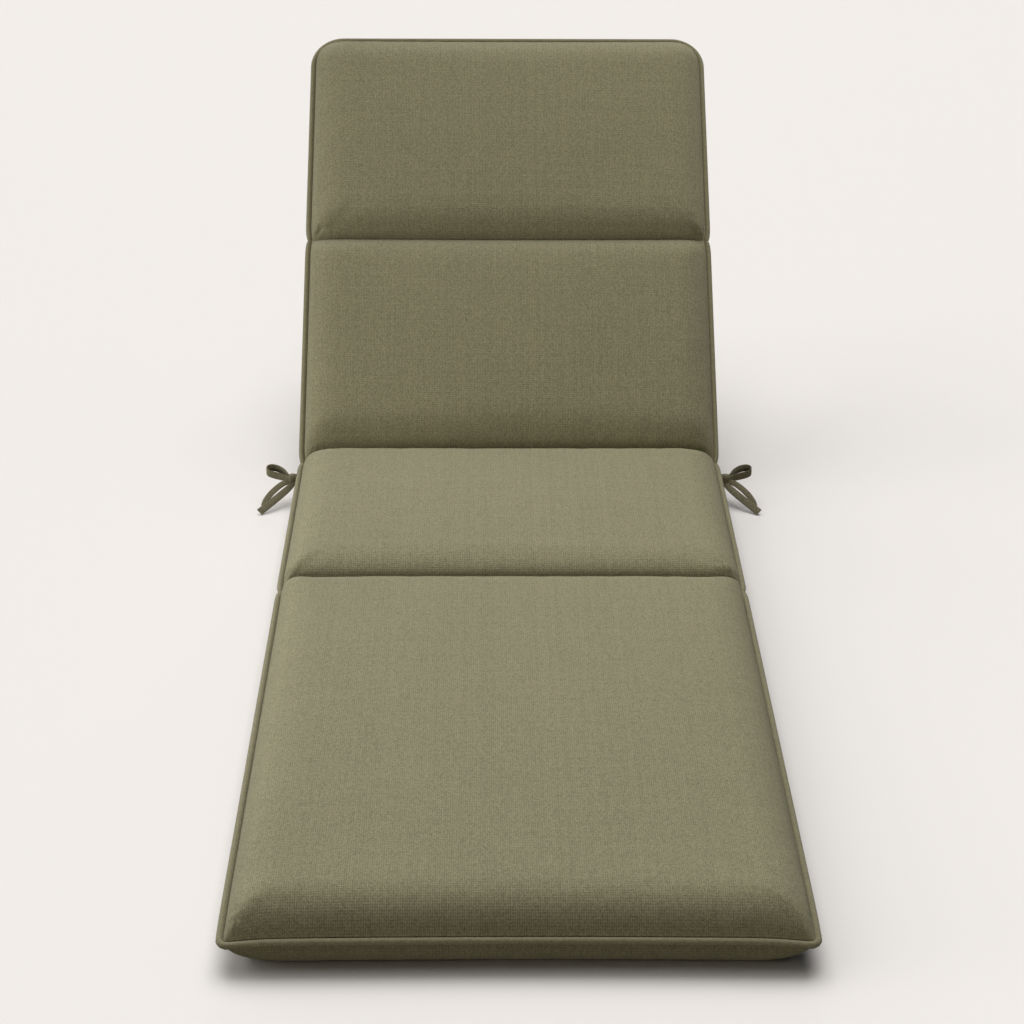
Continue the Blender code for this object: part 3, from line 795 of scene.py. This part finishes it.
def make_knot(name, side):
    """The knot: a drum about the outward axis, with low lumps and a slanting groove of bell section."""
    around = np.linspace(0, 2 * math.pi, KNOT_SIDES, endpoint=False)[None, :]
    out = np.linspace(-KNOT_ENDS, KNOT_ENDS, KNOT_RINGS)[:, None]
    drum = (1.0 - np.abs(out) ** DRUM_POWER) ** DRUM_ROOT
    from_groove = out - GROOVE_SLANT * np.sin(around + GROOVE_TURN)
    groove = GROOVE_DEPTH * np.exp(-((from_groove / GROOVE_WIDTH) ** 2))
    radius = drum * (1.0 - groove + LUMP_HEIGHT * np.sin(LUMPS * (around + out)))
    unit = np.stack([out + 0 * around, radius * np.cos(around), radius * np.sin(around)], axis=-1)
    points = (unit * KNOT_HALF + KNOT_PLACE) * [side, 1, 1]
    faces = capped_faces(KNOT_RINGS, KNOT_SIDES)
    if side > 0:
        faces = [face[::-1] for face in faces]
    knot = new_object(name, points.reshape(-1, 3), faces)
    knot.data.uv_layers.new(name="cloth")
    return knot


bows = {}
for bow, side in (("tie_left", -1), ("tie_right", 1)):
    knot = make_knot(f"{bow}_knot", side)
    tapes = [make_tape(f"{bow}_{part}", rows, edge, side) for part, rows, edge in TAPES]
    bows[bow] = [(knot, 0.0)] + tapes
    print(bow, "has a knot and tapes of", [round(length * 1000) for _, length in tapes], "mm")

# %% [markdown]
# ## Into the frame's place
# Stations were measured from the foot's outer edge. The frame's origin is the middle of the whole
# outline on the ground, so every mesh moves by one shift, found from the piping's own reach. The
# objects stay at the origin and the shift goes into their meshes.

# %% Centre the meshes
shift_y = -float(piping_rings[..., 1].min() + piping_rings[..., 1].max()) / 2
pieces = [cushion, piping] + [thing for bow in bows.values() for thing, _ in bow]


def shift_mesh(thing):
    """Moves the mesh itself along Y."""
    count = len(thing.data.vertices)
    places = np.empty(count * 3)
    thing.data.vertices.foreach_get("co", places)
    places[1::3] += shift_y
    thing.data.vertices.foreach_set("co", places)
    thing.data.update()


for piece in pieces:
    shift_mesh(piece)
print("shift along Y:", round(shift_y, 5))

# %% [markdown]
# ## Shader arithmetic
# A socket wrapped in a small class can stand in an ordinary Python expression. Each operator adds
# one Math node. Every other kind of node comes from the method `node`, which applies the settings
# first and then fills the sockets with values or links.

# %% Socket arithmetic


class Wire:
    """A value that varies over a surface, carried by one socket of a node tree."""

    def __init__(self, tree, socket=None):
        self.tree = tree
        self.socket = socket

    def node(self, kind, settings=(), sockets=(), output=0):
        """The output of a new node, after its settings and then its sockets are filled."""
        made = self.tree.nodes.new("ShaderNode" + kind)
        for name, value in dict(settings).items():
            if name == "stops":
                set_stops(made.color_ramp, value)
            else:
                setattr(made, name, value)
        for key, value in dict(sockets).items():
            if isinstance(value, Wire):
                self.tree.links.new(value.socket, made.inputs[key])
            else:
                made.inputs[key].default_value = value
        return Wire(self.tree, made.outputs[output])

    def math(self, operation, *values):
        return self.node("Math", {"operation": operation}, dict(enumerate(values)))

    def __add__(self, other):
        return self.math("ADD", self, other)

    __radd__ = __add__

    def __sub__(self, other):
        return self.math("SUBTRACT", self, other)

    def __rsub__(self, other):
        return self.math("SUBTRACT", other, self)

    def __mul__(self, other):
        return self.math("MULTIPLY", self, other)

    __rmul__ = __mul__


def set_stops(ramp, stops):
    """Gives a colour ramp its stops, as (place, colour) pairs."""
    while len(ramp.elements) < len(stops):
        ramp.elements.new(0.5)
    for element, (place, colour) in zip(ramp.elements, stops):
        element.position = place
        element.color = (*colour, 1.0)


# %% [markdown]
# ## Woven cloth
# The cover is a plain weave of uneven yarn. A sine along each thread direction makes the rounded
# threads. Every thread has its own tone, and so has every crossing of two threads, which gives the
# cloth its grain. Long thin noise makes the slubs, the thicker stretches of yarn. A slow noise
# shades the cloth, and sheen gives its fuzz.

# %% Cloth material
WARP, WEFT = 0.00227, 0.00305
WARP_LINE, WEFT_LINE = 0.60, 0.40
WARP_TONE, WEFT_TONE, CROSSING_TONE = 0.12, 0.08, 0.9
SLUB_SCALES, SLUB_SIZE = ((9.0, 170.0, 1.0), (170.0, 9.0, 1.0)), 2.2
THREAD_CONTRAST, TONE_CONTRAST, SLUB_CONTRAST, SLOW_CONTRAST = 0.24, 0.75, 0.10, 0.16
CONTRAST, SLOW_SIZE = 0.35, 7.0
BUMP_STRENGTH, BUMP_DISTANCE = 0.35, 0.0006


def weave_wires(start, size, turn):
    """(threads, tones, slubs) of the weave on the piece's own UV, in metres, each round nought."""
    uv = start.node("UVMap", {"uv_map": "cloth"})
    turned = start.node("Mapping", {"vector_type": "POINT"}, {"Vector": uv, "Rotation": (0.0, 0.0, turn)})
    u = start.node("SeparateXYZ", sockets={"Vector": turned})
    v = Wire(start.tree, u.socket.node.outputs[1])
    warp, weft = u * (1.0 / (WARP * size)), v * (1.0 / (WEFT * size))
    warp_line = start.math("SINE", warp * (2 * math.pi))
    weft_line = start.math("SINE", weft * (2 * math.pi))
    one_thread = {"noise_dimensions": "1D"}
    warp_tone = start.node("TexWhiteNoise", one_thread, {"W": start.math("FLOOR", warp)})
    weft_tone = start.node("TexWhiteNoise", one_thread, {"W": start.math("FLOOR", weft) + 0.5})
    crossing = start.node("CombineXYZ", sockets={
        "X": start.math("FLOOR", warp * 2.0),
        "Y": start.math("FLOOR", weft * 2.0),
    })
    crossing_tone = start.node("TexWhiteNoise", {"noise_dimensions": "2D"}, {"Vector": crossing})
    slubs = []
    for stretch in SLUB_SCALES:
        stretched = start.node("Mapping", {"vector_type": "POINT"}, {"Vector": turned, "Scale": stretch})
        slubs.append(start.node("TexNoise", sockets={"Vector": stretched, "Scale": SLUB_SIZE, "Detail": 3.0}))
    tones = (warp_tone - 0.5) * WARP_TONE + (weft_tone - 0.5) * WEFT_TONE
    tones = tones + (crossing_tone - 0.5) * CROSSING_TONE
    return warp_line * WARP_LINE + weft_line * WEFT_LINE, tones, slubs[0] + slubs[1] - 1.0


def cloth_material(name, colour, size=1.0, turn=0.0, bump=1.0):
    """Plain-weave outdoor cloth of one colour with slubs, soft shading and sheen."""
    material = bpy.data.materials.new(name)
    material.use_nodes = True
    tree = material.node_tree
    tree.nodes.clear()
    start = Wire(tree)
    threads, tones, slubs = weave_wires(start, size, turn)
    place = start.node("TexCoord", output=3)
    slow = start.node("TexNoise", sockets={
        "Vector": place,
        "Scale": SLOW_SIZE,
        "Detail": 3.0,
        "Roughness": 0.5,
    })
    shade = 0.5 + threads * THREAD_CONTRAST + tones * TONE_CONTRAST
    shade = shade + slubs * SLUB_CONTRAST + (slow - 0.5) * SLOW_CONTRAST
    dark = tuple(c * (1.0 - CONTRAST) for c in colour)
    light = tuple(c * (1.0 + CONTRAST) for c in colour)
    tone = start.node("ValToRGB", {"stops": ((0.0, dark), (1.0, light))}, {"Fac": shade})
    height = threads * 0.5 + tones * 0.3 + slubs * 0.5
    raised = start.node("Bump", sockets={
        "Height": height,
        "Strength": BUMP_STRENGTH * bump,
        "Distance": BUMP_DISTANCE,
    })
    shader = start.node("BsdfPrincipled", sockets={
        "Base Color": tone,
        "Roughness": 0.88,
        "Normal": raised,
        "Sheen Weight": 0.08,
        "Sheen Roughness": 0.6,
        "Specular IOR Level": 0.2,
    })
    output = tree.nodes.new("ShaderNodeOutputMaterial")
    tree.links.new(shader.socket, output.inputs["Surface"])
    return material


# %% Cloth of each piece
COVER_COLOUR = (0.226, 0.211, 0.124)
TRIM_COLOUR = (0.205, 0.190, 0.113)
# The tapes' colour is darker than the cover's: painted shade, which stands in for the shade on the knot and
# the hanging tails.
TAPE_PAINTED_SHADE_COLOUR = (0.168, 0.155, 0.094)
cover_cloth = cloth_material("cover_cloth", COVER_COLOUR)
piping_cloth = cloth_material("piping_cloth", TRIM_COLOUR, size=0.7, turn=math.radians(45), bump=0.8)
tape_cloth_painted_shade = cloth_material("tape_cloth_painted_shade", TAPE_PAINTED_SHADE_COLOUR, size=0.6, bump=0.8)
cushion.data.materials.append(cover_cloth)
piping.data.materials.append(piping_cloth)
for piece in pieces[2:]:
    piece.data.materials.append(tape_cloth_painted_shade)
print("materials:", cover_cloth.name, piping_cloth.name, tape_cloth_painted_shade.name)

# %% [markdown]
# ## Floor and light
# The picture is a product shot on a pale ground that was lit apart from the cushion: its front is
# dark, yet the ground close behind and beside it is pale. So the cloth and the ground have lamps of
# their own, and each lamp lights only its own collection. The piping takes the cloth's lamps and a
# weak one more. Wide suns give the same brightness all over the ground, with soft shadows. In the
# table a lamp's tilt is its angle from straight up, and its bearing turns from the right (0 degrees)
# over behind (90) to the left (180) and the front (270).

# %% Studio
FLOOR_COLOUR, FLOOR_HALF = (0.80, 0.775, 0.76), 20.0
SUN_PLACE = (0.0, 0.0, 3.0)
WHITE, WARM = (1.0, 0.99, 0.97), (1.0, 0.93, 0.82)
Sun = namedtuple("Sun", "name lights tilt bearing width power colour")
SUNS = (
    Sun("behind_above", "cloth", 30, 90, 50, 1.97, WHITE),
    Sun("behind_left", "cloth", 55, 135, 50, 0.74, WHITE),
    Sun("low_front", "cloth", 78, 270, 24, 0.80, WARM),
    Sun("piping_front", "piping", 50, 270, 40, 0.28, WHITE),
    Sun("ground_above", "ground", 30, 90, 50, 2.16, WHITE),
    Sun("ground_zenith", "ground", 0, 0, 40, 0.55, WHITE),
    Sun("ground_front", "ground", 30, 270, 50, 0.04, WARM),
    Sun("ground_behind_left", "ground", 55, 135, 50, 0.75, WHITE),
    Sun("ground_left", "ground", 60, 180, 50, 0.60, WHITE),
    Sun("ground_right", "ground", 60, 20, 50, 0.10, WHITE),
    Sun("ground_low_left", "ground", 78, 180, 24, 0.45, WARM),
    Sun("ground_low_front", "ground", 78, 270, 24, 0.04, WARM),
    Sun("ground_low_behind", "ground", 78, 90, 24, 0.60, WHITE),
)
PanelLamp = namedtuple("PanelLamp", "name x y z power")
PANEL_LAMPS = (
    PanelLamp("right_behind", 1.4, 0.8, 2.2, 23.0),
    PanelLamp("left_low", -1.8, 0.0, 0.4, 22.0),
)
PANEL_WIDTH, PANEL_AIM = 1.2, np.array([0.0, 0.1, 0.1])


def make_floor():
    """A wide flat ground, far larger than the view."""
    points = FLOOR_HALF * np.array([(-1, -1, 0), (1, -1, 0), (1, 1, 0), (-1, 1, 0)])
    floor = new_object("ground", points, np.array([[0, 1, 2, 3]]))
    material = bpy.data.materials.new("ground")
    material.use_nodes = True
    shader = material.node_tree.nodes["Principled BSDF"]
    shader.inputs["Base Color"].default_value = (*FLOOR_COLOUR, 1.0)
    shader.inputs["Roughness"].default_value = 0.9
    shader.inputs["Specular IOR Level"].default_value = 0.1
    floor.data.materials.append(material)
    return floor


def make_lamp(name, kind, direction, place, lit, colour):
    """A lamp whose light comes from a direction and falls only on one collection."""
    lamp = bpy.data.lights.new(name, kind)
    lamp.color = colour
    thing = bpy.data.objects.new(name, lamp)
    thing.location = place
    thing.rotation_euler = Vector(direction).to_track_quat("Z", "Y").to_euler()
    thing.visible_camera = False
    thing.light_linking.receiver_collection = lit
    bpy.context.scene.collection.objects.link(thing)
    return lamp


ground = make_floor()
ground.visible_diffuse = False
lit_by_name = {name: bpy.data.collections.new(name + "_lit") for name in ("cloth", "piping", "ground")}
lit_by_name["ground"].objects.link(ground)
lit_by_name["piping"].objects.link(piping)
for piece in pieces:
    lit_by_name["cloth"].objects.link(piece)
for row in SUNS:
    tilt, bearing = math.radians(row.tilt), math.radians(row.bearing)
    direction = (math.sin(tilt) * math.cos(bearing), math.sin(tilt) * math.sin(bearing), math.cos(tilt))
    sun = make_lamp(row.name, "SUN", direction, SUN_PLACE, lit_by_name[row.lights], row.colour)
    sun.energy, sun.angle = row.power, math.radians(row.width)
for row in PANEL_LAMPS:
    place = np.array([row.x, row.y, row.z])
    panel_lamp = make_lamp(row.name, "AREA", tuple(place - PANEL_AIM), place, lit_by_name["cloth"], WHITE)
    panel_lamp.energy, panel_lamp.shape, panel_lamp.size = row.power, "DISK", PANEL_WIDTH
world = bpy.data.worlds.new("dark")
world.use_nodes = True
world.node_tree.nodes["Background"].inputs["Strength"].default_value = 0.0
bpy.context.scene.world = world
bpy.context.scene.view_settings.view_transform = "Standard"
print("lamps:", len(SUNS) + len(PANEL_LAMPS))

# %% [markdown]
# ## Put every piece on the frame
# Every piece rides on the one body and replaces the solid that it stands for, which is hidden.

for piece in pieces:
    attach(piece, "root")
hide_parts("cushion")
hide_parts("piping")
for bow, parts in bows.items():
    for thing, length in parts:
        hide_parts(bow)
